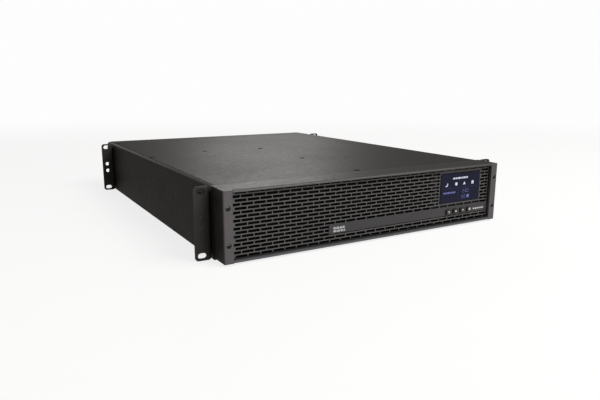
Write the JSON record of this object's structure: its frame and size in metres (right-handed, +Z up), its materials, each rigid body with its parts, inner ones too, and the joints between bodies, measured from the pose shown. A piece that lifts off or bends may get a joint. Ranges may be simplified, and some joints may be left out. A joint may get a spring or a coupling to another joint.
{
  "type": "uninterruptible power supply",
  "caption": "Two-unit rack-mount uninterruptible power supply with removable brick-grille bezel, display, keys, battery tray, fans and rear outlets.",
  "frame": {"origin": "centre of the chassis underside, 300 mm behind the bezel's front face", "axes": "+X to the right seen from the front, +Y towards the rear, +Z up"},
  "size_m": [0.4826, 0.595, 0.088],
  "materials": {
    "powder_coat": "satin textured powder coat, warm black",
    "bezel_paint": "fine-textured satin moulding, warm charcoal",
    "grille_plastic": "satin moulding, warm charcoal",
    "zinc_steel": "bright zinc-plated sheet",
    "black_plastic": "fine spark texture",
    "display_window": "glossy dark tinted window",
    "circuit_board": "solder mask over copper",
    "heatsink_aluminium": "extruded, lightly brushed",
    "blackened_steel": "black oxide",
    "copper_winding": "enamelled wire",
    "battery_case": "moulded case",
    "capacitor_sleeve": "shrink sleeve",
    "red_plastic": "moulded",
    "grey_plastic": "moulded",
    "button_plastic": "satin key cap"
  },
  "bodies": {
    "chassis": {"base_pan": "powder_coat", "top_cover": "powder_coat", "front_plate": "zinc_steel", "bay_divider": "zinc_steel", "rear_panel": "powder_coat", "front_ear_left": "powder_coat", "front_ear_right": "powder_coat", "rear_ear_left": "powder_coat", "rear_ear_right": "powder_coat", "lcd_lens": "display_window", "lcd_module": "black_plastic", "control_housing": "black_plastic", "control_board": "circuit_board", "ribbon_cable": "grey_plastic", "main_board": "circuit_board", "inverter_heatsink": "heatsink_aluminium", "rectifier_heatsink": "heatsink_aluminium", "filter_choke": "copper_winding", "output_transformer": "blackened_steel", "bus_capacitor_1": "capacitor_sleeve", "bus_capacitor_2": "capacitor_sleeve", "fan_frame_1": "black_plastic", "fan_frame_2": "black_plastic", "fan_guard_1": "zinc_steel", "fan_guard_2": "zinc_steel", "outlet_bank_1": "black_plastic", "outlet_bank_2": "black_plastic", "ac_inlet": "black_plastic", "breaker_body_1": "black_plastic", "breaker_body_2": "black_plastic", "comm_ports": "zinc_steel", "card_slot_cover": "powder_coat", "slot_screw_left": "zinc_steel", "slot_screw_right": "zinc_steel", "battery_expansion_port": "grey_plastic", "ground_stud": "zinc_steel"},
    "bezel": {"bezel_frame": "bezel_paint", "bezel_grille": "grille_plastic", "bezel_screw_left_lower": "blackened_steel", "bezel_screw_left_upper": "blackened_steel", "bezel_screw_right_lower": "blackened_steel", "bezel_screw_right_upper": "blackened_steel"},
    "battery_pack": {"battery_tray": "zinc_steel", "battery_1": "battery_case", "battery_2": "battery_case", "battery_3": "battery_case", "battery_4": "battery_case", "battery_5": "battery_case", "battery_6": "battery_case", "battery_harness": "red_plastic", "battery_connector": "grey_plastic", "tray_handle": "zinc_steel"},
    "button_1": {"button_1": "button_plastic"},
    "button_2": {"button_2": "button_plastic"},
    "button_3": {"button_3": "button_plastic"},
    "button_4": {"button_4": "button_plastic"},
    "fan_rotor_1": {"fan_rotor_1": "black_plastic"},
    "fan_rotor_2": {"fan_rotor_2": "black_plastic"},
    "breaker_button_1": {"breaker_button_1": "red_plastic"},
    "breaker_button_2": {"breaker_button_2": "red_plastic"}
  },
  "joints": [
    {"name": "battery_pack_slide", "type": "slide", "parent": "chassis", "child": "battery_pack", "axis": [0, -1, 0], "range_m": [0, 0.46]},
    {"name": "bezel_removal", "type": "slide", "parent": "chassis", "child": "bezel", "axis": [0, -1, 0], "range_m": [0, 0.52]},
    {"name": "button_1_press", "type": "slide", "parent": "chassis", "child": "button_1", "axis": [0, 1, 0], "range_m": [0, 0.0015]},
    {"name": "button_2_press", "type": "slide", "parent": "chassis", "child": "button_2", "axis": [0, 1, 0], "range_m": [0, 0.0015]},
    {"name": "button_3_press", "type": "slide", "parent": "chassis", "child": "button_3", "axis": [0, 1, 0], "range_m": [0, 0.0015]},
    {"name": "button_4_press", "type": "slide", "parent": "chassis", "child": "button_4", "axis": [0, 1, 0], "range_m": [0, 0.0015]},
    {"name": "fan_1_spin", "type": "hinge", "parent": "chassis", "child": "fan_rotor_1", "pos_m": [0.078, 0.27, 0.0434], "axis": [0, 1, 0], "continuous": true},
    {"name": "fan_2_spin", "type": "hinge", "parent": "chassis", "child": "fan_rotor_2", "pos_m": [0.165, 0.27, 0.0434], "axis": [0, 1, 0], "continuous": true},
    {"name": "breaker_1_reset", "type": "slide", "parent": "chassis", "child": "breaker_button_1", "axis": [0, 1, 0], "range_m": [0, 0.003]},
    {"name": "breaker_2_reset", "type": "slide", "parent": "chassis", "child": "breaker_button_2", "axis": [0, 1, 0], "range_m": [0, 0.003]}
  ],
  "couplings": [
    {"joint": "bezel_removal", "follows": "battery_pack_slide", "ratio": 1.12}
  ]
}
